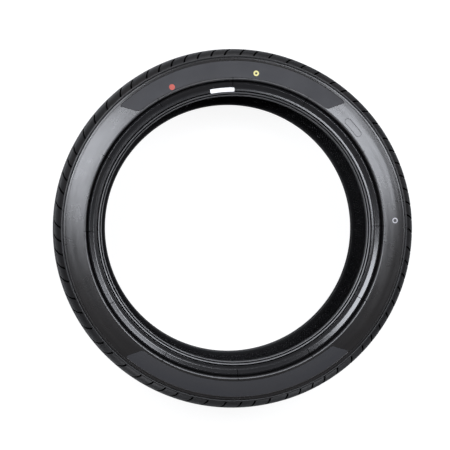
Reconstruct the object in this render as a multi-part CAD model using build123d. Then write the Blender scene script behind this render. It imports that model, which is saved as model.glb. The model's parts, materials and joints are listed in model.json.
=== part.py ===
from build123d import *
import math
import os

# A low-profile car tyre for an 18 inch wheel, lying on its side.
# The wheel axis is Z, the origin is the wheel centre, and lengths are in millimetres.
# Points of the cross-section are given as (radius from the axis, height above the mid-plane).

# Main sizes
outside_diameter = 637.0
rim_diameter = 462.0
sidewall_width = 226.0
bead_width = 204.0

# Tread, with a crown that is an arc between the outer grooves and straight shoulders beyond them
crown_arc = 1500.0
shoulder_half_width = 102.5
shoulder_drop = 9.2
buttress_drop = 20.5
buttress_inset = 3.0

# Rim protector, a ridge that stands out beside the wheel's flange, and the step under it
protector_stand = 2.0
protector_height = 25.3
protector_foot_height = 44.0
step_height = 24.3

# Bead
heel_chamfer = 5.0
bead_base_length = 21.5

# Inside of the tyre
tread_thickness = 17.5
wall_thickness = 8.5
liner_arc = 8000.0
liner_shoulder = 20.0

# Grooves round the tread
groove_spacing = 46.0
groove_width = 10.0
groove_floor_width = 7.0
groove_depth = 7.5

# Wedge-shaped slots across the shoulders, and the lengths of the blocks between them round the tyre
slot_width = 3.6
slot_start = 68.0
slot_end_drop = 20.0
slot_depth = 6.5
slot_lean = 25.0
slot_rake = 24.0
first_slot_angle = 88.0
short_block = 4.5
medium_block = 5.1
long_block = 6.0
block_sequence = (
    "smlmmlsmsmlssssssslsssmssssmlmssslms"
    "mlmmsssllsllmlsssslmsssllllslssssssm"
)

# Paper label stuck on the bead
label_length = 42.0
label_width = 7.2
label_thickness = 0.3
label_margin = 1.0
label_angle = 95.3

crown_radius = outside_diameter / 2
rim_radius = rim_diameter / 2


def arc_drop(radius, height):
    """How far an arc that is level at the mid-plane has fallen at a height above it."""
    return radius - math.sqrt(radius**2 - height**2)


def crown_at(height):
    return crown_radius - arc_drop(crown_arc, height)


def liner_at(height):
    return crown_radius - tread_thickness - arc_drop(liner_arc, height)


# Corners of the cross-section's upper half
crown_edge = (crown_at(groove_spacing), groove_spacing)
shoulder = (crown_radius - shoulder_drop, shoulder_half_width)
buttress = (crown_radius - buttress_drop, sidewall_width / 2 - buttress_inset)
protector_foot = (rim_radius + protector_foot_height, sidewall_width / 2)
protector = (rim_radius + protector_height, sidewall_width / 2 + protector_stand)
step_foot = (rim_radius + step_height, bead_width / 2)
heel_outer = (rim_radius + heel_chamfer, bead_width / 2)
heel_inner = (rim_radius, bead_width / 2 - heel_chamfer)
toe = (rim_radius, bead_width / 2 - bead_base_length)
liner_widest = ((buttress[0] + protector_foot[0]) / 2, sidewall_width / 2 - wall_thickness)
liner_half_width = liner_widest[1] - liner_shoulder
liner_edge = (liner_at(liner_half_width), liner_half_width)


def crown_curve(radius_at, start, end):
    """An arc of the crown or the liner between two heights."""
    heights = (start, (start + end) / 2, end)
    return ThreePointArc(*[(radius_at(height), height) for height in heights])


def carcass():
    """The tyre's body with a plain tread."""
    upper = Curve() + [
        crown_curve(crown_at, 0, groove_spacing),
        Polyline(crown_edge, shoulder, buttress, protector_foot, protector, step_foot),
        Polyline(step_foot, heel_outer, heel_inner, toe, liner_widest, liner_edge),
        crown_curve(liner_at, liner_half_width, 0),
    ]
    outline = upper + mirror(upper, Plane.XZ)
    return revolve(make_face(Plane.XZ * outline), Axis.Z)


def groove(height):
    """A ring that cuts one groove round the tread."""
    floor = crown_at(height) - groove_depth
    top = crown_radius + groove_depth
    half_floor = groove_floor_width / 2
    half_top = half_floor + (groove_width / 2 - half_floor) * (top - floor) / groove_depth
    corners = [(floor, -half_floor), (floor, half_floor), (top, half_top), (top, -half_top)]
    outline = Polyline(*[(radius, height + side) for radius, side in corners], close=True)
    return revolve(make_face(Plane.XZ * outline), Axis.Z)


def slot_angles():
    """Angles of the slots round the tyre, in degrees."""
    lengths = {"s": short_block, "m": medium_block, "l": long_block}
    turn = 360 / sum(lengths[letter] for letter in block_sequence)
    angles = [first_slot_angle]
    for letter in block_sequence[:-1]:
        angles.append(angles[-1] - lengths[letter] * turn)
    return angles


def shoulder_slots():
    """Slanted wedges that cut the slots across the upper shoulder, with floors that run out at the buttress."""
    shoulder_rib = Plane.XZ * Line(crown_edge, shoulder)
    buttress_line = Plane.XZ * Line(shoulder, buttress)
    start = shoulder_rib @ ((slot_start - groove_spacing) / (shoulder_half_width - groove_spacing))
    start -= Vector(slot_depth, 0, 0)
    end = buttress_line @ ((slot_end_drop - shoulder_drop) / (buttress_drop - shoulder_drop))
    along = (end - start).normalized()
    outward = Vector(along.Z, 0, -along.X)
    run = (end - start).length / math.cos(math.radians(slot_lean))
    wedge_height = 4 * slot_depth
    half_top = slot_width / 2 * wedge_height / slot_depth
    section = Polyline((0, 0), (half_top, wedge_height), (-half_top, wedge_height), close=True)
    wedge = extrude(make_face(Plane.YZ * section), run + wedge_height, dir=(1, 0, 0))
    seat = Plane(end, x_dir=along, z_dir=outward)
    placed = seat * Rot(Z=-slot_lean) * Rot(X=-slot_rake) * Pos(-run, 0, 0) * wedge
    return [Rot(Z=angle) * placed for angle in slot_angles()]


def make_tyre():
    grooves = [groove(row * groove_spacing) for row in (-1, 0, 1)]
    slots = shoulder_slots()
    turned_over = [Rot(X=180) * slot for slot in slots]
    return carcass() - grooves - slots - turned_over


def make_bead_label():
    """A strip of paper that lies on the bead's flat face and follows the heel round."""
    inner = heel_outer[0] + label_margin
    strip = Rectangle(label_width, label_thickness, align=Align.MIN)
    sweep = math.degrees(label_length / (inner + label_width / 2))
    label = revolve(Plane.XZ * Pos(inner, heel_outer[1]) * strip, Axis.Z, sweep)
    return Rot(Z=label_angle - sweep / 2) * label


os.makedirs("parts", exist_ok=True)
for name, piece in {"tyre": make_tyre(), "bead_label": make_bead_label()}.items():
    piece.label = name
    export_step(piece, os.path.join("parts", name + ".step"))
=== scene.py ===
import json
import math

import bmesh
import bpy
from bpy.props import FloatProperty, FloatVectorProperty, IntProperty, PointerProperty, StringProperty
from mathutils import Matrix, Vector
from mathutils.bvhtree import BVHTree


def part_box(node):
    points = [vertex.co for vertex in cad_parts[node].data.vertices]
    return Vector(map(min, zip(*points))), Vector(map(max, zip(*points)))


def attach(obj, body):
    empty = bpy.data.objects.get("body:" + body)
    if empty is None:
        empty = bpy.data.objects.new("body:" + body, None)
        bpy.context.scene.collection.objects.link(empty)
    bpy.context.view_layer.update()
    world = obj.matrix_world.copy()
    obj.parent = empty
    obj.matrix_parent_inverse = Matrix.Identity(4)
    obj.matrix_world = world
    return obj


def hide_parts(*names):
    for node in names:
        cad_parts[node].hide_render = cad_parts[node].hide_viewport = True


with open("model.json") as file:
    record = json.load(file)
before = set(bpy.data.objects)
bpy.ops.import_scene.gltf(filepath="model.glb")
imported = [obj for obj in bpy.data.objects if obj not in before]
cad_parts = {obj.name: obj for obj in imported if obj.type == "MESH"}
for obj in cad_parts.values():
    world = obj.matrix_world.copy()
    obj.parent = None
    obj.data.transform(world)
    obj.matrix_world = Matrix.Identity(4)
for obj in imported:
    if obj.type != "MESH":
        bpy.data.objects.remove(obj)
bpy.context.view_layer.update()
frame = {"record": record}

bl_info = {
    "name": "Car tyre",
    "version": (1, 0, 0),
    "blender": (4, 5, 0),
    "location": "View3D > Sidebar > Tyre",
    "description": "Builds a low-profile car tyre with its label and paint marks, on a white studio floor",
    "category": "Object",
}

TYRE_LOW, TYRE_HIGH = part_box("tyre")
LABEL_LOW, LABEL_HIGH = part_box("bead_label")
SEAT = frame["record"]["mounts"][0]["dims"]
MM = 0.001
SHARP_ANGLE = math.radians(35)


def length(name, description, default):
    """A size in metres that a user may change."""
    return FloatProperty(name=name, description=description, default=default, unit="LENGTH", precision=5)


def degrees(name, description, default):
    """An angle that a user may change, written here in degrees."""
    return FloatProperty(name=name, description=description, default=math.radians(default), subtype="ANGLE")


def colour(name, description, default):
    """A colour that a user may change, as linear red, green and blue."""
    return FloatVectorProperty(
        name=name, description=description, default=default, subtype="COLOR", size=3, min=0, max=1
    )


def share_of(name, description, default):
    """A share between 0 and 1 that a user may change."""
    return FloatProperty(name=name, description=description, default=default, min=0, max=1, subtype="FACTOR")


def watts(name, description, default):
    """The power of a lamp."""
    return FloatProperty(name=name, description=description, default=default, min=0, unit="POWER")


def coordinates(name, description, default):
    """A place that a user may change."""
    return FloatVectorProperty(name=name, description=description, default=default, unit="LENGTH", size=3)


class TyreSizes(bpy.types.PropertyGroup):
    """Sizes of the tyre's section, tread and sidewalls."""

    crown_radius: length("Crown radius", "Radius at the middle of the tread", TYRE_HIGH.x)
    crown_arc: length("Crown arc", "Radius of the tread's arc across its width", 1.5)
    groove_spacing: length("Groove spacing", "Distance between the grooves round the tread", 0.046)
    groove_width: length("Groove width", "Width of a groove at the tread", 0.010)
    groove_floor: length("Groove floor", "Width of a groove's floor", 0.007)
    groove_depth: length("Groove depth", "Depth of a groove", 0.0075)
    shoulder_height: length("Shoulder height", "Half the tread's width", 0.1025)
    shoulder_radius: length("Shoulder radius", "Radius of the shoulder's corner before its rounding", 0.3093)
    shoulder_round: length("Shoulder rounding", "Length of the shoulder's rounding on each side", 0.009)
    buttress_radius: length("Buttress radius", "Radius of the buttress's lower edge", 0.298)
    buttress_height: length("Buttress height", "Height of the buttress's lower edge", 0.110)
    foot_stand: length("Block foot", "How far the ledge at the foot of a tread block rises", 0.0003)
    wall_edge: length("Sidewall edge", "Radius where the sidewall meets the tread blocks", 0.2978)
    edge_height: length("Edge height", "Height where the sidewall meets the tread blocks", 0.1084)
    wall_fall: length("Sidewall fall", "How far the sidewall falls towards its edge", 0.0061)
    wall_slope: degrees("Sidewall slope", "Slope of the sidewall beside the rim protector", 4.0)
    wall_height: length("Sidewall height", "Half the width over the sidewalls", 0.113)
    tip_radius: length("Protector radius", "Radius of the rim protector's edge", 0.2563)
    tip_height: length("Protector height", "Half the width over the rim protectors", TYRE_HIGH.z)
    foot_radius: length("Protector foot", "Radius where the rim protector leaves the sidewall", 0.275)
    step_radius: length("Step radius", "Radius of the step under the rim protector", 0.2553)
    bead_height: length("Bead height", "Half the width over the beads", LABEL_LOW.z)
    rim_radius: length("Rim radius", "Radius of the bead base", SEAT["r_mm"] * MM)
    heel: length("Heel", "Size of the bead's rounded heel", 0.005)
    base_length: length("Bead base", "Length of the bead base from the bead's face to its toe", 0.0215)
    tread_thickness: length("Tread thickness", "Thickness of the tyre at the crown", 0.0175)
    wall_thickness: length("Wall thickness", "Thickness of the sidewall", 0.0085)
    liner_shoulder: length("Liner shoulder", "Width of the liner's slope at the shoulder", 0.020)
    liner_arc: length("Liner arc", "Radius of the liner's arc across its width", 8.0)
    protector_round: length("Protector rounding", "Rounding of the rim protector's edge", 0.0022)
    gutter_depth: length("Gutter depth", "Depth of the gutter beside the step, from the bead's face", 0.0045)
    cushion_stand: length("Cushion stand", "How far the bead's cushion stands out of its face", 0.003)
    bead_groove: length("Bead groove", "Depth of the groove between the bead's face and its ridge", 0.0045)
    heel_groove: length("Heel groove", "Depth of the groove between the bead's ridge and the heel", 0.005)
    heel_bulge: length("Heel bulge", "How far the heel stands in front of the bead base", 0.001)
    ridge_stand: length("Ridge stand", "How far the fine ridges stand out of the sidewall", 0.0005)
    ridge_width: length("Ridge width", "Width of a fine ridge on the sidewall", 0.0028)
    rib_radius: length("Rib radius", "Radius of the fine ridge beside the panels", 0.2940)
    wall_groove: length("Sidewall groove", "Depth of the groove beside the fine ridge", 0.0011)
    panel_outer: length("Panel outer edge", "Radius of the panels' outer edge", 0.2902)
    panel_inner: length("Panel inner edge", "Radius of the upper panel's inner edge", 0.2597)
    panel_low: length("Lower panel's inner edge", "Radius of the lower panel's inner edge", 0.2624)
    panel_depth: length("Panel depth", "How far the matt panels are sunk", 0.0006)
    panel_corner: length("Panel corner", "How much of a panel's corners is cut off", 0.0035)
    panel_border: length("Panel border", "Width of the slope round a panel", 0.0008)


class TreadPattern(bpy.types.PropertyGroup):
    """Slots across the shoulders and the blocks between them."""

    columns: IntProperty(
        name="Columns", description="Mesh columns in a block, of which the slot is one", default=4, min=3
    )
    sequence: StringProperty(
        name="Blocks",
        description="Short, medium and long blocks in the order in which they follow each other",
        default="smlmmlsmsmlssssssslsssmssssmlmssslmsmlmmsssllsllmlsssslmsssllllslssssssm",
    )
    short_block: FloatProperty(name="Short block", description="Share of a short block", default=4.5)
    medium_block: FloatProperty(name="Medium block", description="Share of a medium block", default=5.1)
    long_block: FloatProperty(name="Long block", description="Share of a long block", default=6.0)
    first_angle: degrees("First slot", "Angle of the first slot's lower end", 88.5)
    slot_width: length("Slot width", "Width of a slot", 0.0036)
    sipe_width: length("Sipe width", "Width of a cut in the middle ribs", 0.0012)
    sipe_depth: length("Sipe depth", "Depth of a cut in the middle ribs", 0.0045)
    sipe_margin: length("Sipe margin", "Distance of a cut's ends from the grooves", 0.004)
    slot_start: length("Slot start", "Height at which a slot starts", 0.068)
    slot_depth: length("Slot depth", "Depth of a slot at its start", 0.007)
    slot_foot_depth: length("Slot foot depth", "Depth of a slot at its foot", 0.006)
    slot_floor: share_of("Slot floor", "Width of a slot's floor, as a share of the slot's width", 0.5)
    slot_tilt: degrees("Slot tilt", "Direction in which a slot is sunk on the shoulder", 8.0)
    slot_foot_tilt: degrees("Slot foot tilt", "Direction in which a slot is sunk at its foot", 56.0)
    foot_radius: length("Foot radius", "Radius of the tread blocks' foot", 0.2993)
    knee_height: length("Slot knee", "Height at which a slot straightens", 0.097)
    sweep_knee: degrees("Sweep to the knee", "How far a slot turns from its foot to its knee", 1.5)
    sweep_start: degrees("Sweep to the start", "How far a slot turns from its foot to its start", 2.4)


class TyreColours(bpy.types.PropertyGroup):
    """Colours of the rubber, the label and the paint, with lighter rubber as a painted highlight on edges and
    darkest rubber as painted shade in slots and grooves.
    """

    sidewall: colour("Sidewall", "Satin rubber of the sidewall", (0.013, 0.012, 0.012))
    panel: colour("Panels", "Matt rubber of the panels", (0.015, 0.015, 0.018))
    bead: colour("Bead", "Smooth rubber of the bead", (0.011, 0.011, 0.012))
    # Lighter rubber on the rim protector's edge, the heel and the bead ridge: a painted highlight.
    edge: colour("Edges with painted highlight", "Rubber of the rim protector's edge and the heel", (0.03, 0.03, 0.031))
    tread: colour("Tread", "Rubber of the tread and shoulders", (0.006, 0.006, 0.007))
    # Also put in the groove beside the sidewall's fine ridge, as painted shade.
    base: colour("Bead base", "Rubber of the bead base", (0.008, 0.008, 0.009))
    liner: colour("Liner", "Rubber inside the tyre", (0.008, 0.008, 0.009))
    # Darkest rubber, without specular: painted shade deep in the slots, sipes and grooves.
    slot: colour("Slots", "Rubber deep in the slots and grooves", (0.003, 0.003, 0.003))
    bloom: colour("Bloom", "Brownish film on aged rubber", (0.030, 0.025, 0.021))
    paper: colour("Paper", "White paper of the label", (0.86, 0.86, 0.85))
    worn_paper: colour("Worn paper", "Worn specks of the label", (0.7, 0.7, 0.68))
    red_dot: colour("Red dot", "Paint of the round dot", (0.40, 0.06, 0.04))
    yellow_ring: colour("Yellow ring", "Paint of the ring", (0.60, 0.55, 0.22))
    white_ring: colour("White ring", "Paint of the small ring", (0.42, 0.41, 0.43))


class StudioSettings(bpy.types.PropertyGroup):
    """Camera, lamps and floor."""

    lens: FloatProperty(name="Lens", description="Focal length", default=111.1, unit="CAMERA")
    camera_place: coordinates("Camera", "Where the camera stands", (-0.1565, 0.017, 2.5))
    camera_target: coordinates("Target", "Point at the middle of the picture", (-0.0116, 0.0058, 0))
    left_power: watts("Left power", "Power of the left lamp", 42.0)
    right_power: watts("Right power", "Power of the right lamp", 42.0)
    low_power: watts("Low power", "Power of each of the two low lamps", 8.0)
    above_power: watts("Upper power", "Power of the upper lamp", 13.0)
    lamp_colour: colour("Lamp colour", "Colour of the lamps' light", (0.90, 0.93, 1.0))
    lamp_size: length("Lamp size", "Side of a lamp", 0.9)
    lamp_distance: length("Lamp distance", "Distance of a lamp from the tyre", 2.5)
    ambient: share_of("Ambient", "Light from all round", 0.08)
    floor_size: length("Floor size", "Half the floor's side", 6.0)
    floor_glow: share_of("Floor glow", "How white the floor glows near the tyre", 0.9)
    floor_near: length("Floor near", "Distance from the middle up to which the floor glows", 0.6)
    floor_far: length("Floor far", "Distance from the middle from which the floor is white", 1.8)
    floor_shade: colour("Floor shade", "Share of the lamps' light that the floor shows", (0.2, 0.2, 0.2))
    floor_bounce: colour("Floor bounce", "Light that the floor throws back on the tyre", (0.3, 0.3, 0.3))


class SmallPieces(bpy.types.PropertyGroup):
    """Label, vent lines, plate outline and paint, with angles clockwise from the top."""

    label_angle: degrees("Label angle", "Angle of the label's middle", -5.3)
    label_length: length("Label length", "Length of the paper label", 0.042)
    label_width: length("Label width", "Width of the paper label", 0.0072)
    label_corner: length("Label corner", "Rounding of the label's corners", 0.0016)
    label_margin: length("Label margin", "Distance of the label from the heel", 0.001)
    vent_count: IntProperty(name="Vent lines", description="Number of vent lines", default=12, min=1)
    vent_first: degrees("First vent line", "Angle of the first vent line", 29.0)
    vent_length: length("Vent line length", "Length of a vent line", 0.017)
    vent_width: length("Vent line width", "Width of a vent line", 0.0009)
    vent_stand: length("Vent line stand", "How far a vent line stands out", 0.00025)
    vent_inset: length("Vent line inset", "Distance of a vent line's middle from the step", 0.0027)
    plate_angle: degrees("Plate angle", "Angle of the plate's middle", 49.4)
    plate_radius: length("Plate radius", "Radius of the plate's middle", 0.2688)
    plate_width: length("Plate width", "Width of the plate", 0.0114)
    plate_straight: length("Plate straight", "Length of the plate's straight sides", 0.0273)
    plate_line: length("Plate line", "Width of the plate's outline", 0.0006)
    plate_stand: length("Plate stand", "How far the plate's outline stands out", 0.0002)
    paint_stand: length("Paint", "Thickness of the paint", 0.00012)


# Section of the tyre's upper half, as corners of radius, height and rounding


def arc_drop(radius, height):
    """How far an arc that is level at the mid-plane has fallen at a height above it."""
    return radius - math.sqrt(radius**2 - height**2)


def crown_at(sizes, height):
    """Radius of the tread between the outer grooves."""
    return sizes.crown_radius - arc_drop(sizes.crown_arc, height)


def shoulder_at(sizes, height):
    """Radius of the straight shoulder beyond the outer grooves."""
    edge = crown_at(sizes, sizes.groove_spacing)
    share = (height - sizes.groove_spacing) / (sizes.shoulder_height - sizes.groove_spacing)
    return edge + share * (sizes.shoulder_radius - edge)


def buttress_at(sizes, radius):
    """Height of the buttress at a radius."""
    share = (sizes.shoulder_radius - radius) / (sizes.shoulder_radius - sizes.buttress_radius)
    return sizes.shoulder_height + share * (sizes.buttress_height - sizes.shoulder_height)


def wall_at(sizes, radius):
    """Height of the rounded sidewall at a radius."""
    width = sizes.wall_edge - sizes.tip_radius
    share = (radius - sizes.tip_radius) / width
    straight = width * math.tan(sizes.wall_slope)
    return sizes.tip_height - share * straight - share**2 * (sizes.wall_fall - straight)


def liner_at(sizes, height):
    """Radius of the liner under the tread."""
    return sizes.crown_radius - sizes.tread_thickness - arc_drop(sizes.liner_arc, height)


def ridge(sizes, radius):
    """Corners of a fine ridge round the sidewall, and of the shallow groove on its inner side."""
    half = sizes.ridge_width / 2
    groove, slope, lip = 1.0 * MM, 0.4 * MM, 0.2 * MM
    foot = radius - half
    return [
        (radius + half, wall_at(sizes, radius + half), 0),
        (radius + 0.8 * half, wall_at(sizes, radius + half) + sizes.ridge_stand, lip),
        (radius - 0.8 * half, wall_at(sizes, foot) + 0.5 * sizes.ridge_stand, lip),
        (foot, wall_at(sizes, foot) - sizes.ridge_stand, 0),
        (foot - groove, wall_at(sizes, foot - groove) - sizes.ridge_stand, 0),
        (foot - groove - slope, wall_at(sizes, foot - groove - slope), 0),
    ]


def tread_corners(sizes, pattern):
    """From the middle of the tread over the shoulder to the foot of the buttress."""
    spacing, half_top, half_floor = sizes.groove_spacing, sizes.groove_width / 2, sizes.groove_floor / 2
    deep, lip, crisp = 1.0 * MM, 0.8 * MM, 0.2 * MM
    corners = [
        (crown_at(sizes, 0) - sizes.groove_depth, 0, 0),
        (crown_at(sizes, 0) - sizes.groove_depth, half_floor, deep),
        (crown_at(sizes, half_top), half_top, lip),
    ]
    rib = spacing - 2 * half_top
    for share in (0.15, 0.5, 0.85):
        height = half_top + share * rib
        corners.append((crown_at(sizes, height), height, 0))
    floor = crown_at(sizes, spacing) - sizes.groove_depth
    corners += [
        (crown_at(sizes, spacing - half_top), spacing - half_top, lip),
        (floor, spacing - half_floor, deep),
        (floor, spacing + half_floor, deep),
        (shoulder_at(sizes, spacing + half_top), spacing + half_top, lip),
    ]
    rows = 4
    last = sizes.shoulder_height - 1.1 * sizes.shoulder_round
    for row in range(rows):
        height = pattern.slot_start + row / (rows - 1) * (last - pattern.slot_start)
        corners.append((shoulder_at(sizes, height), height, 0))
    corners.append((sizes.shoulder_radius, sizes.shoulder_height, sizes.shoulder_round))
    foot = pattern.foot_radius
    corners += [
        (foot, buttress_at(sizes, foot), crisp),
        (sizes.wall_edge + crisp, buttress_at(sizes, foot) + sizes.foot_stand, crisp),
        (sizes.wall_edge, sizes.edge_height, 0),
    ]
    return corners


def wall_corners(sizes):
    """From the foot of the buttress over the sidewall and the rim protector's edge."""
    corners = [(sizes.wall_edge, sizes.edge_height, 0)]
    for radius in (sizes.rib_radius + 2.6 * MM, sizes.rib_radius + 1.9 * MM):
        corners.append((radius, wall_at(sizes, radius) - sizes.wall_groove, 0.15 * MM))
    corners += ridge(sizes, sizes.rib_radius)
    rows = 6
    for row in range(rows):
        radius = sizes.panel_outer + row / rows * (sizes.panel_low - sizes.panel_outer)
        corners.append((radius, wall_at(sizes, radius), 0))
    corners += [
        (sizes.panel_low, wall_at(sizes, sizes.panel_low), 0),
        (sizes.panel_inner, wall_at(sizes, sizes.panel_inner), 0),
        (sizes.tip_radius + 0.5 * MM, sizes.tip_height, sizes.protector_round),
        step_middle(sizes),
    ]
    return corners


def step_middle(sizes):
    """A point half way down the step under the rim protector."""
    return ((sizes.tip_radius + sizes.step_radius) / 2, (sizes.tip_height + sizes.bead_height) / 2, 0)


def bead_corners(sizes):
    """From the step over the bead's cushion, its grooves and its ridge round the heel."""
    step, face, rim = sizes.step_radius, sizes.bead_height, sizes.rim_radius
    return [
        step_middle(sizes),
        (step - 0.2 * MM, face - sizes.gutter_depth, 0.3 * MM),
        (step - 1.3 * MM, face + 0.5 * MM, 0.5 * MM),
        (step - 4.4 * MM, face + sizes.cushion_stand, 0.5 * MM),
        (rim + 13.4 * MM, face + 0.2 * MM, 0.6 * MM),
        (rim + 10.6 * MM, face - 0.17 * MM, 0.3 * MM),
        (rim + 7.2 * MM, face - 0.05 * MM, 0.3 * MM),
        (rim + 6.9 * MM, face - sizes.bead_groove, 0.2 * MM),
        (rim + 5.6 * MM, face - sizes.bead_groove, 0.2 * MM),
        (rim + 5.0 * MM, face - 0.7 * MM, 0.2 * MM),
        (rim + 2.8 * MM, face - 1.25 * MM, 0.6 * MM),
        (rim + 2.0 * MM, face - sizes.heel_groove, 0.2 * MM),
        (rim + 1.3 * MM, face - sizes.heel_groove, 0.2 * MM),
        (rim + 0.8 * MM, face - 2.2 * MM, 0.3 * MM),
        (rim - sizes.heel_bulge + 0.1 * MM, face - 2.8 * MM, 0.6 * MM),
        (rim - sizes.heel_bulge, face - sizes.heel, 0.6 * MM),
        base_start(sizes),
    ]


def base_start(sizes):
    """A point of the bead base just behind the heel."""
    return (sizes.rim_radius, sizes.bead_height - sizes.heel - 3.0 * MM, 0)


def base_corners(sizes):
    """From the heel along the bead base round the toe."""
    return [
        base_start(sizes),
        (sizes.rim_radius, sizes.bead_height - sizes.base_length, 1.5 * MM),
        liner_start(sizes),
    ]


def liner_widest(sizes):
    """Corner of the liner where the tyre is widest inside."""
    middle = (sizes.buttress_radius + sizes.foot_radius) / 2
    return (middle, sizes.wall_height - sizes.wall_thickness)


def liner_start(sizes):
    """A point of the liner just behind the toe."""
    toe = Vector((sizes.rim_radius, sizes.bead_height - sizes.base_length))
    point = toe.lerp(Vector(liner_widest(sizes)), 0.1)
    return (point.x, point.y, 0)


def liner_corners(sizes):
    """From the toe round the inside of the tyre to the middle of the tread."""
    radius, height = liner_widest(sizes)
    edge = height - sizes.liner_shoulder
    return [
        liner_start(sizes),
        (radius, height, 15 * MM),
        (liner_at(sizes, edge), edge, 12 * MM),
        (liner_at(sizes, edge * 2 / 3), edge * 2 / 3, 0),
        (liner_at(sizes, edge / 3), edge / 3, 0),
        (liner_at(sizes, 0), 0, 0),
    ]


# Finishes of the rubber, in the order of the mesh's material numbers

FINISHES = {
    "tread": {"rough": 0.42, "film": 0.3, "grain": 700.0, "depth": 0.15 * MM},
    "sidewall": {"rough": 0.28, "film": 0.15, "grain": 1500.0, "depth": 0.025 * MM, "waves": 0.7 * MM},
    "bead": {"rough": 0.19, "film": 0.15, "grain": 1300.0, "depth": 0.01 * MM},
    "base": {"rough": 0.55, "film": 0.1, "grain": 900.0, "depth": 0.2 * MM},
    "liner": {"rough": 0.36, "film": 0.1, "grain": 800.0, "depth": 1.2 * MM, "mesh": True},
    "panel": {"rough": 0.62, "film": 0.2, "grain": 1600.0, "depth": 0.12 * MM},
    # The slot finish is painted shade: darkest rubber without specular, for recesses.
    "slot": {"rough": 0.75, "film": 0.3, "grain": 800.0, "depth": 0.2 * MM, "specular": 0.0},
    # The edge finish's lighter colour is a painted highlight on thin edges.
    "edge": {"rough": 0.42, "film": 0.1, "grain": 1300.0, "depth": 0.03 * MM, "specular": 1.0},
}
FINISH_ORDER = tuple(FINISHES)


# Rings of rubber, spun from parts of the section


def rounding_steps(rounding):
    """How many faces a rounding is made of."""
    if rounding < 1 * MM:
        return 2
    return 3 if rounding < 5 * MM else 6


def round_off(bm, verts, rounding, steps):
    """Round off corners of an outline."""
    bmesh.ops.bevel(
        bm, geom=verts, offset=rounding, segments=steps, profile=0.5, affect="VERTICES", material=-1
    )


def new_ring(corners, columns, start):
    """Round the corners of part of the section and spin it clockwise round the wheel axis."""
    bm = bmesh.new()
    verts = [bm.verts.new((radius, 0, height)) for radius, height, _ in corners]
    for pair in zip(verts, verts[1:]):
        bm.edges.new(pair)
    for vert, (_, _, rounding) in zip(verts, corners):
        if rounding:
            round_off(bm, [vert], rounding, rounding_steps(rounding))
    bmesh.ops.rotate(bm, verts=bm.verts[:], matrix=Matrix.Rotation(start, 3, "Z"))
    outline = bm.verts[:] + bm.edges[:]
    bmesh.ops.spin(bm, geom=outline, axis=(0, 0, 1), angle=-2 * math.pi, steps=columns, use_merge=True)
    bmesh.ops.remove_doubles(bm, verts=bm.verts[:], dist=0.01 * MM)
    column = bm.faces.layers.int.new("column")
    for face in bm.faces:
        centre = face.calc_center_median()
        turn = (start - math.atan2(centre.y, centre.x)) % (2 * math.pi)
        face[column] = int(turn / (2 * math.pi) * columns)
    return bm


def slot_angles(pattern):
    """Angles of the slots' lower ends round the tyre."""
    shares = {"s": pattern.short_block, "m": pattern.medium_block, "l": pattern.long_block}
    turn = 2 * math.pi / sum(shares[letter] for letter in pattern.sequence)
    angles = [pattern.first_angle]
    for letter in pattern.sequence:
        angles.append(angles[-1] - shares[letter] * turn)
    return angles


def column_angles(pattern, slots, half_slot):
    """Angles of the mesh columns where they follow the slots and the blocks between them."""
    angles = []
    for slot, following in zip(slots, slots[1:]):
        angles.append(slot + half_slot)
        block = slot - following - 2 * half_slot
        for step in range(pattern.columns - 1):
            angles.append(slot - half_slot - step / (pattern.columns - 1) * block)
    return angles


def smooth_share(value, low, high):
    """0 at low, 1 at high and eased between them."""
    share = min(1, max(0, (value - low) / (high - low)))
    return share * share * (3 - 2 * share)


def slot_sweep(sizes, pattern, height):
    """How far the slots have turned clockwise at a height, and the columns beside them."""
    foot = buttress_at(sizes, pattern.foot_radius)
    knee = pattern.knee_height
    if height > knee:
        return pattern.sweep_knee * min(1, max(0, (foot - height) / (foot - knee)))
    if height > pattern.slot_start:
        share = (knee - height) / (knee - pattern.slot_start)
        return pattern.sweep_knee + share * (pattern.sweep_start - pattern.sweep_knee)
    return pattern.sweep_start * max(0, height / pattern.slot_start)


def follow_blocks(bm, sizes, pattern, start):
    """Turn the columns of the tread and the sidewall so that they follow the slots."""
    slots = slot_angles(pattern)
    count = pattern.columns * len(pattern.sequence)
    pitch = 2 * math.pi / count
    wide = column_angles(pattern, slots, pattern.slot_width / 2 / sizes.crown_radius)
    narrow = column_angles(pattern, slots, pattern.sipe_width / 2 / sizes.crown_radius)
    for vert in bm.verts:
        radius = math.hypot(vert.co.x, vert.co.y)
        height = vert.co.z
        turn = (start - math.atan2(vert.co.y, vert.co.x)) % (2 * math.pi)
        column = round(turn / pitch) % count
        even = start - column * pitch
        share = smooth_share(height, sizes.groove_spacing, pattern.slot_start)
        angle = narrow[column] + share * (wide[column] - narrow[column])
        if radius < sizes.wall_edge:
            hold = smooth_share(radius, sizes.foot_radius, sizes.wall_edge)
        else:
            hold = smooth_share(height, 0, sizes.groove_width)
        angle = even + hold * (angle - slot_sweep(sizes, pattern, height) - even)
        vert.co.x, vert.co.y = radius * math.cos(angle), radius * math.sin(angle)


def new_verts(made):
    """The vertices among what an operator has made."""
    return [item for item in made["geom"] if isinstance(item, bmesh.types.BMVert)]


def open_cut(bm, faces):
    """Extrude faces into a cut with the slots' finish, darkest rubber as painted shade, and give back the
    vertices of its floor.
    """
    floor = new_verts(bmesh.ops.extrude_face_region(bm, geom=faces))
    for face in {face for vert in floor for face in vert.link_faces}:
        face.material_index = FINISH_ORDER.index("slot")
    bmesh.ops.delete(bm, geom=faces, context="FACES")
    return floor


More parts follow.
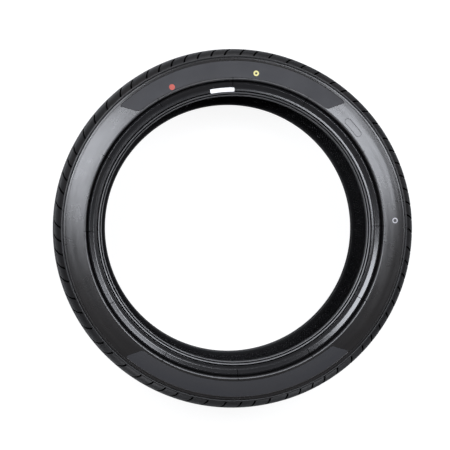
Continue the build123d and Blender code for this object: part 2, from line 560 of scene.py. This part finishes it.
def cut_slots(bm, sizes, pattern):
    """Sink the slots into the shoulder, down to the foot of the blocks."""
    column = bm.faces.layers.int["column"]
    slots = slot_angles(pattern)
    foot_height = buttress_at(sizes, pattern.foot_radius)
    rounding_height = sizes.shoulder_height - sizes.shoulder_round
    members = {}
    for face in bm.faces:
        if face[column] % pattern.columns == 0:
            centre = face.calc_center_median()
            if centre.z > pattern.slot_start and centre.xy.length > pattern.foot_radius + 0.3 * MM:
                members.setdefault(face[column] // pattern.columns, []).append(face)
    for block, faces in members.items():
        for vert in open_cut(bm, faces):
            height = vert.co.z
            share = min(1, (height - pattern.slot_start) / (foot_height - pattern.slot_start))
            depth = pattern.slot_depth + share * (pattern.slot_foot_depth - pattern.slot_depth)
            turned = smooth_share(height, rounding_height, foot_height)
            tilt = pattern.slot_tilt + turned * (pattern.slot_foot_tilt - pattern.slot_tilt)
            radius = vert.co.xy.length - depth * math.cos(tilt)
            middle = slots[block] - slot_sweep(sizes, pattern, height)
            angle = math.atan2(vert.co.y, vert.co.x)
            off = (angle - middle + math.pi) % (2 * math.pi) - math.pi
            angle = middle + pattern.slot_floor * off
            vert.co = (radius * math.cos(angle), radius * math.sin(angle), height - depth * math.sin(tilt))


def cut_sipes(bm, sizes, pattern):
    """Cut a thin sipe across each middle rib at every slot."""
    column = bm.faces.layers.int["column"]
    low = sizes.groove_width / 2 + pattern.sipe_margin
    high = sizes.groove_spacing - low
    faces = []
    for face in bm.faces:
        if face[column] % pattern.columns == 0 and low < face.calc_center_median().z < high:
            faces.append(face)
    for vert in open_cut(bm, faces):
        radius = vert.co.xy.length
        vert.co.xy *= (radius - pattern.sipe_depth) / radius


# Sidewall panels with slanted ends, as clockwise degrees from the top to their outer and inner corners

PANELS = (
    {"from": (316.4, 320.5), "to": (401.3, 397.5), "inner": "panel_inner"},
    {"from": (136.8, 140.4), "to": (221.0, 217.6), "inner": "panel_low"},
)


def at_clock(angle, radius, height=0.0):
    """A point at a clockwise angle from the top and a radius."""
    return Vector((radius * math.sin(angle), radius * math.cos(angle), height))


def upright_plane(first, second, inside):
    """A point and the normal of the upright plane through two points, with an inside point behind it."""
    along = (second - first).normalized()
    normal = Vector((along.y, -along.x, 0))
    if normal.dot(inside - first) > 0:
        normal.negate()
    return first, normal


def panel_cuts(sizes, panel, low, middle):
    """Upright planes along a panel's slanted ends and across their corners, each with its reach."""
    cuts = []
    for end in (panel["from"], panel["to"]):
        outer = at_clock(math.radians(end[0]), sizes.panel_outer)
        inner = at_clock(math.radians(end[1]), low)
        cuts.append((*upright_plane(outer, inner, middle), sizes.panel_outer))
        along = (inner - outer).normalized() * sizes.panel_corner
        for corner, inward in ((outer, along), (inner, -along)):
            side = Vector((-corner.y, corner.x, 0)).normalized() * sizes.panel_corner
            if side.dot(middle - corner) < 0:
                side.negate()
            cuts.append((*upright_plane(corner + inward, corner + side, middle), 3 * sizes.panel_corner))
    return cuts


def sink_panels(bm, sizes):
    """Cut the panels out of the sidewall with slanted ends and sink them a little."""
    panel_faces = []
    for panel in PANELS:
        low = getattr(sizes, panel["inner"])
        middle = at_clock(math.radians(panel["from"][0] + panel["to"][0]) / 2, sizes.panel_outer)
        cuts = panel_cuts(sizes, panel, low, middle)
        for point, normal, reach in cuts:
            near = []
            for face in bm.faces:
                centre = face.calc_center_median()
                if low < centre.xy.length < sizes.panel_outer and (centre.xy - point.xy).length < reach:
                    near.append(face)
            edges = {edge for face in near for edge in face.edges}
            verts = {vert for face in near for vert in face.verts}
            bmesh.ops.bisect_plane(
                bm, geom=near + list(edges) + list(verts), plane_co=point, plane_no=normal, dist=0.05 * MM
            )
        for face in bm.faces:
            centre = face.calc_center_median().xy
            if not low < centre.length < sizes.panel_outer or centre.dot(middle.xy) < 0:
                continue
            offsets = [(centre - point.xy, normal.xy, reach) for point, normal, reach in cuts]
            if not any(offset.length < reach and offset.dot(normal) > 0 for offset, normal, reach in offsets):
                panel_faces.append(face)
    bmesh.ops.inset_region(
        bm,
        faces=panel_faces,
        thickness=sizes.panel_border,
        depth=-sizes.panel_depth,
        use_boundary=True,
        use_even_offset=True,
    )
    for face in panel_faces:
        face.material_index = FINISH_ORDER.index("panel")


def finish_zones(bm, sizes):
    """Give edges lighter rubber as a painted highlight and grooves dark rubber as painted shade, by radius
    and height.
    """
    rim, bead, rib, tip = sizes.rim_radius, sizes.bead_height, sizes.rib_radius, sizes.tip_height
    groove_top = wall_at(sizes, rib + 2.6 * MM)
    # Each zone: finish, inner and outer radius, lowest and highest height. Edge rubber here is a painted
    # highlight; slot rubber in the heel, bead and sidewall grooves and base rubber beside the sidewall groove
    # are painted shade.
    zones = (
        ("edge", sizes.tip_radius - 0.2 * MM, sizes.panel_inner - 0.6 * MM, tip - 3 * MM, tip + 1 * MM),
        ("edge", rim - 0.9 * MM, rim + 1.0 * MM, bead - 3.6 * MM, bead),
        ("slot", rim + 0.95 * MM, rim + 2.5 * MM, bead - 6 * MM, bead - 2.6 * MM),
        ("slot", rim + 5.2 * MM, rim + 7.1 * MM, bead - 6 * MM, bead - 1.5 * MM),
        ("edge", rim + 2.6 * MM, rim + 5.1 * MM, bead - 1.8 * MM, bead),
        ("base", rib + 1.4 * MM, sizes.wall_edge, bead, groove_top - 0.2 * MM),
        ("slot", rib + 1.7 * MM, rib + 2.8 * MM, bead, groove_top - 0.8 * MM),
    )
    for face in bm.faces:
        centre = face.calc_center_median()
        for finish, inner, outer, low, high in zones:
            if inner < centre.xy.length < outer and low < centre.z < high:
                face.material_index = FINISH_ORDER.index(finish)


def new_mesh(bm, name):
    """A mesh for an object, made of a bmesh that is freed."""
    mesh = bpy.data.meshes.new(name)
    bm.to_mesh(mesh)
    bm.free()
    return mesh


def new_object(name, data):
    """An object in the scene."""
    made = bpy.data.objects.new(name, data)
    bpy.context.scene.collection.objects.link(made)
    return made


def add_mesh(bm, other):
    """Add another bmesh to this one, and free it."""
    scratch = new_mesh(other, "scratch")
    bm.from_mesh(scratch)
    bpy.data.meshes.remove(scratch)


def build_half(sizes, pattern):
    """The tyre's upper half, from rings that share their edges."""
    count = pattern.columns * len(pattern.sequence)
    pitch = 2 * math.pi / count
    start = round(pattern.first_angle / pitch) * pitch
    rings = {
        "tread": new_ring(tread_corners(sizes, pattern), count, start),
        "sidewall": new_ring(wall_corners(sizes), count, start),
        "bead": new_ring(bead_corners(sizes), count, start),
        "base": new_ring(base_corners(sizes), count, start),
        "liner": new_ring(liner_corners(sizes), count, start),
    }
    half = bmesh.new()
    for name, ring in rings.items():
        bmesh.ops.recalc_face_normals(ring, faces=ring.faces[:])
        for face in ring.faces:
            face.material_index = FINISH_ORDER.index(name)
        if name in ("tread", "sidewall"):
            follow_blocks(ring, sizes, pattern, start)
        if name == "tread":
            cut_slots(ring, sizes, pattern)
            cut_sipes(ring, sizes, pattern)
        if name == "sidewall":
            sink_panels(ring, sizes)
        if name in ("sidewall", "bead"):
            finish_zones(ring, sizes)
        add_mesh(half, ring)
    return half


def build_tyre_mesh(sizes, pattern):
    """The whole tyre: the upper half, and the same half turned over for the lower side."""
    bm = build_half(sizes, pattern)
    copied = bmesh.ops.duplicate(bm, geom=bm.verts[:] + bm.edges[:] + bm.faces[:])
    bmesh.ops.rotate(bm, verts=new_verts(copied), matrix=Matrix.Rotation(math.pi, 3, "X"))
    bmesh.ops.remove_doubles(bm, verts=bm.verts[:], dist=0.02 * MM)
    bmesh.ops.recalc_face_normals(bm, faces=bm.faces[:])
    return bm


# Small pieces that are modelled flat and laid on the tyre


def leave_line(bm, line):
    """Leave only a line along the border of a flat piece."""
    bmesh.ops.inset_region(bm, faces=bm.faces[:], thickness=line, use_boundary=True)
    middle = max(bm.faces, key=lambda face: face.calc_area())
    bmesh.ops.delete(bm, geom=[middle], context="FACES")


def thicken(bm, thickness):
    """Give a flat piece its thickness, upwards."""
    top = new_verts(bmesh.ops.extrude_face_region(bm, geom=bm.faces[:]))
    bmesh.ops.translate(bm, vec=(0, 0, thickness), verts=top)
    bmesh.ops.recalc_face_normals(bm, faces=bm.faces[:])


def bend(bm, angle, radius):
    """Bend a flat piece round the wheel axis, with its middle at a clockwise angle and a radius."""
    for vert in bm.verts:
        vert.co = at_clock(angle + vert.co.x / radius, radius + vert.co.y, vert.co.z)


def drop_on_tyre(bm, surface):
    """Lower a bent piece on the tyre's upper side."""
    for vert in bm.verts:
        above = Vector((vert.co.x, vert.co.y, 2 * TYRE_HIGH.z))
        hit = surface.ray_cast(above, Vector((0, 0, -1)))[0]
        if hit is None:
            raise RuntimeError("a piece does not lie on the tyre")
        vert.co.z += hit.z


def tyre_surface():
    """The finished tyre, for laying pieces on it."""
    bm = bmesh.new()
    bm.from_mesh(bpy.data.objects["tyre_body"].data)
    surface = BVHTree.FromBMesh(bm)
    bm.free()
    return surface


def finish_piece(bm, name, materials, replaced=None):
    """Make an object of a mesh, shade it, and let it ride on the tyre."""
    mesh = new_mesh(bm, name)
    mesh.shade_smooth()
    mesh.set_sharp_from_angle(angle=SHARP_ANGLE)
    for material in materials:
        mesh.materials.append(material)
    piece = new_object(name, mesh)
    even = piece.modifiers.new("even_normals", "WEIGHTED_NORMAL")
    even.keep_sharp = True
    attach(piece, "root")
    if replaced:
        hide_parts(replaced)


# Materials


def add_node(tree, kind, inputs=(), **settings):
    """Add a node with its settings, and fill its inputs with values or with other nodes' outputs."""
    made = tree.nodes.new(kind)
    for name, value in settings.items():
        setattr(made, name, value)
    for name, value in dict(inputs).items():
        if isinstance(value, bpy.types.NodeSocket):
            tree.links.new(value, made.inputs[name])
        else:
            made.inputs[name].default_value = value
    return made


def math_node(tree, operation, first, second=0.0):
    """The output of a Math node."""
    return add_node(tree, "ShaderNodeMath", {0: first, 1: second}, operation=operation).outputs[0]


def map_range(tree, value, low, high, to_low, to_high):
    """The output of a Map Range node that clamps."""
    inputs = {"Value": value, "From Min": low, "From Max": high, "To Min": to_low, "To Max": to_high}
    return add_node(tree, "ShaderNodeMapRange", inputs).outputs["Result"]


def blend(tree, share, base, worn):
    """The output of a Mix node between two colours."""
    inputs = {"Factor": share, "A": (*base, 1), "B": (*worn, 1)}
    return add_node(tree, "ShaderNodeMix", inputs, data_type="RGBA").outputs["Result"]


def new_group(name, inputs, outputs):
    """A shader node group with number sockets, and its two ends."""
    group = bpy.data.node_groups.new(name, "ShaderNodeTree")
    for label, value in inputs.items():
        socket = group.interface.new_socket(label, in_out="INPUT", socket_type="NodeSocketFloat")
        socket.default_value = value
    for label in outputs:
        group.interface.new_socket(label, in_out="OUTPUT", socket_type="NodeSocketFloat")
    return group, group.nodes.new("NodeGroupInput"), group.nodes.new("NodeGroupOutput")


def position_group():
    """Angle round the wheel axis, radius and height of a point on the tyre."""
    group, _, end = new_group("tyre_position", {}, ("Angle", "Radius", "Height"))
    spot = add_node(group, "ShaderNodeTexCoord").outputs["Object"]
    split = add_node(group, "ShaderNodeSeparateXYZ", {"Vector": spot})
    x, y = split.outputs["X"], split.outputs["Y"]
    flat = add_node(group, "ShaderNodeCombineXYZ", {"X": x, "Y": y}).outputs["Vector"]
    radius = add_node(group, "ShaderNodeVectorMath", {0: flat}, operation="LENGTH").outputs["Value"]
    group.links.new(math_node(group, "ARCTAN2", y, x), end.inputs["Angle"])
    group.links.new(radius, end.inputs["Radius"])
    group.links.new(split.outputs["Z"], end.inputs["Height"])
    return group


def grain_group():
    """Fine grain of moulded rubber, as a height for bump and an uneven tone."""
    group, start, end = new_group("rubber_grain", {"Scale": 900.0}, ("Height", "Tone"))
    spot = add_node(group, "ShaderNodeTexCoord").outputs["Object"]
    noises = {
        "Height": {"Vector": spot, "Scale": start.outputs["Scale"], "Detail": 3.0},
        "Tone": {"Vector": spot, "Scale": 28.0, "Detail": 4.0, "Roughness": 0.6},
    }
    for name, inputs in noises.items():
        noise = add_node(group, "ShaderNodeTexNoise", inputs)
        group.links.new(noise.outputs["Fac"], end.inputs[name])
    return group


def bloom_group(position):
    """Patches of brownish film and soft waves of the surface, both drawn out round the tyre."""
    group, start, end = new_group("rubber_bloom", {"Amount": 0.5}, ("Mask", "Waves"))
    place = add_node(group, "ShaderNodeGroup", node_tree=position)
    around = add_node(
        group,
        "ShaderNodeCombineXYZ",
        {
            "X": math_node(group, "SINE", place.outputs["Angle"]),
            "Y": math_node(group, "COSINE", place.outputs["Angle"]),
            "Z": math_node(group, "MULTIPLY", place.outputs["Radius"], 30.0),
        },
    )
    noise = add_node(
        group,
        "ShaderNodeTexNoise",
        {"Vector": around.outputs["Vector"], "Scale": 2.4, "Detail": 5.0, "Roughness": 0.62},
    )
    mask = map_range(group, noise.outputs["Fac"], 0.38, 0.72, 0.0, 1.0)
    group.links.new(math_node(group, "MULTIPLY", mask, start.outputs["Amount"]), end.inputs["Mask"])
    waves = add_node(
        group, "ShaderNodeTexNoise", {"Vector": around.outputs["Vector"], "Scale": 2.2, "Detail": 1.0}
    )
    group.links.new(waves.outputs["Fac"], end.inputs["Waves"])
    return group


def shared_groups():
    """The node groups that the materials share, built once."""
    if "tyre_position" not in bpy.data.node_groups:
        position_group()
        grain_group()
        bloom_group(bpy.data.node_groups["tyre_position"])
    return bpy.data.node_groups


def empty_tree(owner):
    """The node tree of a new material or world, with no nodes in it."""
    owner.use_nodes = True
    owner.node_tree.nodes.clear()
    return owner.node_tree


def new_material(name):
    """A material, its node tree and its shader."""
    material = bpy.data.materials.new(name)
    tree = empty_tree(material)
    shader = add_node(tree, "ShaderNodeBsdfPrincipled")
    add_node(tree, "ShaderNodeOutputMaterial", {"Surface": shader.outputs["BSDF"]})
    return material, tree, shader


def rubber(name, base, worn, rough, film, grain, depth, waves=0, specular=0.5, mesh=False):
    """Rubber with grain, uneven gloss and a film of bloom."""
    material, tree, shader = new_material(name)
    shader.inputs["Specular IOR Level"].default_value = specular
    groups = shared_groups()
    pores = add_node(tree, "ShaderNodeGroup", {"Scale": grain}, node_tree=groups["rubber_grain"])
    bloom = add_node(tree, "ShaderNodeGroup", {"Amount": film}, node_tree=groups["rubber_bloom"])
    tree.links.new(blend(tree, bloom.outputs["Mask"], base, worn), shader.inputs["Base Color"])
    gloss = map_range(tree, pores.outputs["Tone"], 0.3, 0.7, 0.94 * rough, 1.06 * rough)
    tree.links.new(gloss, shader.inputs["Roughness"])
    height = pores.outputs["Height"]
    if mesh:
        height = liner_mesh(tree, groups, height)
    height = math_node(tree, "MULTIPLY", height, depth)
    if waves:
        swell = math_node(tree, "MULTIPLY", bloom.outputs["Waves"], waves)
        height = math_node(tree, "ADD", height, swell)
    bump = add_node(tree, "ShaderNodeBump", {"Height": height, "Strength": 1.0, "Distance": 1.0})
    tree.links.new(bump.outputs["Normal"], shader.inputs["Normal"])
    return material


def liner_mesh(tree, groups, grain):
    """A fine diamond mesh left in the liner by the moulding bladder."""
    place = add_node(tree, "ShaderNodeGroup", node_tree=groups["tyre_position"])
    around = math_node(tree, "MULTIPLY", place.outputs["Angle"], 300.0)
    across = math_node(tree, "ADD", place.outputs["Radius"], place.outputs["Height"])
    across = math_node(tree, "MULTIPLY", across, 1280.0)
    rising = math_node(tree, "SINE", math_node(tree, "ADD", around, across))
    falling = math_node(tree, "SINE", math_node(tree, "SUBTRACT", around, across))
    knots = math_node(tree, "MAXIMUM", rising, falling)
    return math_node(tree, "ADD", math_node(tree, "MULTIPLY", knots, 0.5), grain)


def tyre_materials(colours):
    """The tyre's finishes, in the order of the mesh's material numbers."""
    materials = []
    for finish, values in FINISHES.items():
        worn = colours.tread if finish == "slot" else colours.bloom
        materials.append(rubber(finish + "_rubber", getattr(colours, finish), worn, **values))
    return materials


def paint(name, base, worn):
    """A thin coat of marking paint with worn specks."""
    material, tree, shader = new_material(name)
    grain = add_node(tree, "ShaderNodeGroup", {"Scale": 900.0}, node_tree=shared_groups()["rubber_grain"])
    specks = map_range(tree, grain.outputs["Height"], 0.62, 0.72, 0.0, 0.6)
    tree.links.new(blend(tree, specks, base, worn), shader.inputs["Base Color"])
    tree.links.new(map_range(tree, grain.outputs["Tone"], 0.3, 0.7, 0.5, 0.65), shader.inputs["Roughness"])
    bump = add_node(tree, "ShaderNodeBump", {"Height": grain.outputs["Height"], "Distance": 0.08 * MM})
    tree.links.new(bump.outputs["Normal"], shader.inputs["Normal"])
    return material


class TYRE_OT_body(bpy.types.Operator):
    """Build the tyre's body with its tread, sidewalls, beads and liner"""

    bl_idname = "tyre.body"
    bl_label = "Tyre body"

    def execute(self, context):
        bm = build_tyre_mesh(context.scene.tyre_sizes, context.scene.tyre_pattern)
        materials = tyre_materials(context.scene.tyre_colours)
        finish_piece(bm, "tyre_body", materials, "tyre")
        return {"FINISHED"}


class TYRE_OT_vent_lines(bpy.types.Operator):
    """Lay the fine lines that the mould's vents leave across the bead's cushion"""

    bl_idname = "tyre.vent_lines"
    bl_label = "Vent lines"

    def execute(self, context):
        small = context.scene.tyre_small
        radius = context.scene.tyre_sizes.step_radius - small.vent_inset
        surface = tyre_surface()
        bm = bmesh.new()
        for line in range(small.vent_count):
            strip = bmesh.new()
            bmesh.ops.create_grid(strip, x_segments=1, y_segments=60, size=0.5)
            bmesh.ops.scale(strip, vec=(small.vent_width, small.vent_length, 1), verts=strip.verts[:])
            thicken(strip, small.vent_stand)
            bend(strip, small.vent_first + 2 * math.pi / small.vent_count * line, radius)
            drop_on_tyre(strip, surface)
            add_mesh(bm, strip)
        # The lines take the slots' darkest rubber, so they show darker than the cushion.
        finish_piece(bm, "vent_lines", [bpy.data.materials["slot_rubber"]])
        return {"FINISHED"}


class TYRE_OT_plate(bpy.types.Operator):
    """Lay the thin outline of a bare plate with round ends on the sidewall"""

    bl_idname = "tyre.plate"
    bl_label = "Plate outline"

    def execute(self, context):
        small = context.scene.tyre_small
        bm = bmesh.new()
        bmesh.ops.create_circle(bm, cap_ends=True, radius=small.plate_width / 2, segments=40)
        for vert in bm.verts:
            vert.co.x += math.copysign(small.plate_straight / 2, vert.co.x)
        leave_line(bm, small.plate_line)
        sides = [edge for edge in bm.edges if edge.calc_length() > small.plate_straight / 2]
        bmesh.ops.subdivide_edges(bm, edges=sides, cuts=12)
        thicken(bm, small.plate_stand)
        bend(bm, small.plate_angle, small.plate_radius)
        drop_on_tyre(bm, tyre_surface())
        # The outline takes the slots' darkest rubber, a painted shade line along the plate's edge.
        finish_piece(bm, "plate_outline", [bpy.data.materials["slot_rubber"]])
        return {"FINISHED"}


class TYRE_OT_label(bpy.types.Operator):
    """Lay the paper label on the bead"""

    bl_idname = "tyre.label"
    bl_label = "Paper label"

    def execute(self, context):
        sizes, small, colours = context.scene.tyre_sizes, context.scene.tyre_small, context.scene.tyre_colours
        radius = sizes.rim_radius + sizes.heel + small.label_margin + small.label_width / 2
        bm = bmesh.new()
        bmesh.ops.create_grid(bm, x_segments=24, y_segments=1, size=0.5)
        bmesh.ops.scale(bm, vec=(small.label_length, small.label_width, 1), verts=bm.verts[:])
        tips = [vert for vert in bm.verts if abs(vert.co.x) > 0.49 * small.label_length]
        round_off(bm, tips, small.label_corner, 4)
        thicken(bm, LABEL_HIGH.z - LABEL_LOW.z)
        bend(bm, small.label_angle, radius)
        bmesh.ops.translate(bm, vec=(0, 0, LABEL_LOW.z), verts=bm.verts[:])
        paper = paint("label_paper", colours.paper, colours.worn_paper)
        finish_piece(bm, "paper_label", [paper], "bead_label")
        return {"FINISHED"}


# Paint marks, by clockwise degrees from the top, distance from the wheel axis, own radius and width of line

MARKS = {
    "red_dot": {"clock": 335.8, "radius": 266.5 * MM, "size": 5.0 * MM, "line": 0},
    "yellow_ring": {"clock": 7.6, "radius": 270.0 * MM, "size": 4.8 * MM, "line": 2.8 * MM},
    "white_ring": {"clock": 87.1, "radius": 277.6 * MM, "size": 4.8 * MM, "line": 1.8 * MM},
}


class TYRE_OT_paint_marks(bpy.types.Operator):
    """Dab the red dot, the yellow ring and the small white ring on the sidewall"""

    bl_idname = "tyre.paint_marks"
    bl_label = "Paint marks"

    def execute(self, context):
        small, colours = context.scene.tyre_small, context.scene.tyre_colours
        surface = tyre_surface()
        for name, mark in MARKS.items():
            size = mark["size"]
            bm = bmesh.new()
            bmesh.ops.create_circle(bm, cap_ends=True, radius=size, segments=40)
            if mark["line"]:
                leave_line(bm, mark["line"])
            else:
                bmesh.ops.inset_region(bm, faces=bm.faces[:], thickness=size / 2, use_boundary=True)
                bmesh.ops.poke(bm, faces=[max(bm.faces, key=lambda face: face.calc_area())])
            thicken(bm, small.paint_stand)
            bend(bm, math.radians(mark["clock"]), mark["radius"])
            drop_on_tyre(bm, surface)
            finish_piece(bm, name, [paint(name, getattr(colours, name), colours.sidewall)])
        return {"FINISHED"}


# Lamps, as clockwise degrees from the top, degrees above the floor and the setting for their power

LAMPS = {
    "key_left": (300.0, 64.5, "left_power"),
    "key_right": (58.0, 65.5, "right_power"),
    "low_left": (208.0, 14.0, "low_power"),
    "low_right": (152.0, 14.0, "low_power"),
    "fill_above": (0.0, 32.0, "above_power"),
}


class TYRE_OT_stage(bpy.types.Operator):
    """Set up the white floor, the lamps and the camera"""

    bl_idname = "tyre.stage"
    bl_label = "Studio"

    def execute(self, context):
        studio = context.scene.tyre_studio
        context.scene.view_settings.view_transform = "Standard"
        self.lay_floor(studio)
        self.light_world(context.scene, studio)
        for name, (clock, rise, power) in LAMPS.items():
            self.hang_lamp(name, math.radians(clock), math.radians(rise), getattr(studio, power), studio)
        self.place_camera(context.scene, studio)
        return {"FINISHED"}

    def lay_floor(self, studio):
        """A white floor that shows the tyre's shadow."""
        bm = bmesh.new()
        bmesh.ops.create_grid(bm, x_segments=1, y_segments=1, size=studio.floor_size)
        bmesh.ops.translate(bm, vec=(0, 0, TYRE_LOW.z), verts=bm.verts[:])
        floor = new_object("floor", new_mesh(bm, "floor"))
        material = bpy.data.materials.new("white_floor")
        tree = empty_tree(material)
        spot = add_node(tree, "ShaderNodeTexCoord").outputs["Object"]
        away = add_node(tree, "ShaderNodeVectorMath", {0: spot}, operation="LENGTH").outputs["Value"]
        brightness = map_range(tree, away, studio.floor_near, studio.floor_far, studio.floor_glow, 1.0)
        white = add_node(tree, "ShaderNodeEmission", {"Color": (1, 1, 1, 1), "Strength": brightness})
        board = add_node(tree, "ShaderNodeBsdfDiffuse", {"Color": (*studio.floor_shade, 1)})
        glow = add_node(tree, "ShaderNodeAddShader", {0: white.outputs[0], 1: board.outputs[0]})
        bounce = add_node(tree, "ShaderNodeBsdfDiffuse", {"Color": (*studio.floor_bounce, 1)})
        seen = add_node(tree, "ShaderNodeLightPath").outputs["Is Camera Ray"]
        mix = add_node(tree, "ShaderNodeMixShader", {0: seen, 1: bounce.outputs[0], 2: glow.outputs[0]})
        add_node(tree, "ShaderNodeOutputMaterial", {"Surface": mix.outputs[0]})
        floor.data.materials.append(material)

    def light_world(self, scene, studio):
        """A white background that lights the tyre only a little."""
        world = bpy.data.worlds.new("studio")
        tree = empty_tree(world)
        white = add_node(tree, "ShaderNodeBackground", {"Color": (1, 1, 1, 1), "Strength": 1.0})
        dim = add_node(tree, "ShaderNodeBackground", {"Color": (1, 1, 1, 1), "Strength": studio.ambient})
        seen = add_node(tree, "ShaderNodeLightPath").outputs["Is Camera Ray"]
        mix = add_node(tree, "ShaderNodeMixShader", {0: seen, 1: dim.outputs[0], 2: white.outputs[0]})
        add_node(tree, "ShaderNodeOutputWorld", {"Surface": mix.outputs[0]})
        scene.world = world

    def hang_lamp(self, name, clock, rise, power, studio):
        """A square lamp that points at the tyre."""
        lamp = bpy.data.lights.new(name, "AREA")
        lamp.shape = "SQUARE"
        lamp.size = studio.lamp_size
        lamp.energy = power
        lamp.color = studio.lamp_colour
        holder = new_object(name, lamp)
        away = studio.lamp_distance
        holder.location = at_clock(clock, away * math.cos(rise), away * math.sin(rise))
        holder.rotation_euler = (-holder.location).to_track_quat("-Z", "Y").to_euler()

    def place_camera(self, scene, studio):
        """A camera at the photograph's viewing angle."""
        camera = bpy.data.cameras.new("camera")
        camera.lens = studio.lens
        holder = new_object("camera", camera)
        place, target = Vector(studio.camera_place), Vector(studio.camera_target)
        back = (place - target).normalized()
        right = Vector((0, 1, 0)).cross(back).normalized()
        up = back.cross(right)
        holder.matrix_world = Matrix.Translation(place) @ Matrix((right, up, back)).transposed().to_4x4()
        scene.camera = holder


class TYRE_PT_sidebar(bpy.types.Panel):
    """Buttons for the tyre's pieces"""

    bl_idname = "TYRE_PT_sidebar"
    bl_label = "Tyre"
    bl_space_type = "VIEW_3D"
    bl_region_type = "UI"
    bl_category = "Tyre"

    def draw(self, context):
        for operator in OPERATORS:
            self.layout.operator(operator.bl_idname)


OPERATORS = (
    TYRE_OT_body,
    TYRE_OT_vent_lines,
    TYRE_OT_plate,
    TYRE_OT_label,
    TYRE_OT_paint_marks,
    TYRE_OT_stage,
)
SETTINGS = {
    "tyre_sizes": TyreSizes,
    "tyre_pattern": TreadPattern,
    "tyre_colours": TyreColours,
    "tyre_small": SmallPieces,
    "tyre_studio": StudioSettings,
}


def register():
    for group in (*SETTINGS.values(), *OPERATORS, TYRE_PT_sidebar):
        bpy.utils.register_class(group)
    for name, group in SETTINGS.items():
        setattr(bpy.types.Scene, name, PointerProperty(type=group))


def unregister():
    for name in SETTINGS:
        delattr(bpy.types.Scene, name)
    for group in (TYRE_PT_sidebar, *OPERATORS, *SETTINGS.values()):
        bpy.utils.unregister_class(group)


def main():
    register()
    bpy.ops.tyre.body()
    bpy.ops.tyre.vent_lines()
    bpy.ops.tyre.plate()
    bpy.ops.tyre.label()
    bpy.ops.tyre.paint_marks()
    bpy.ops.tyre.stage()


if __name__ == "__main__":
    main()
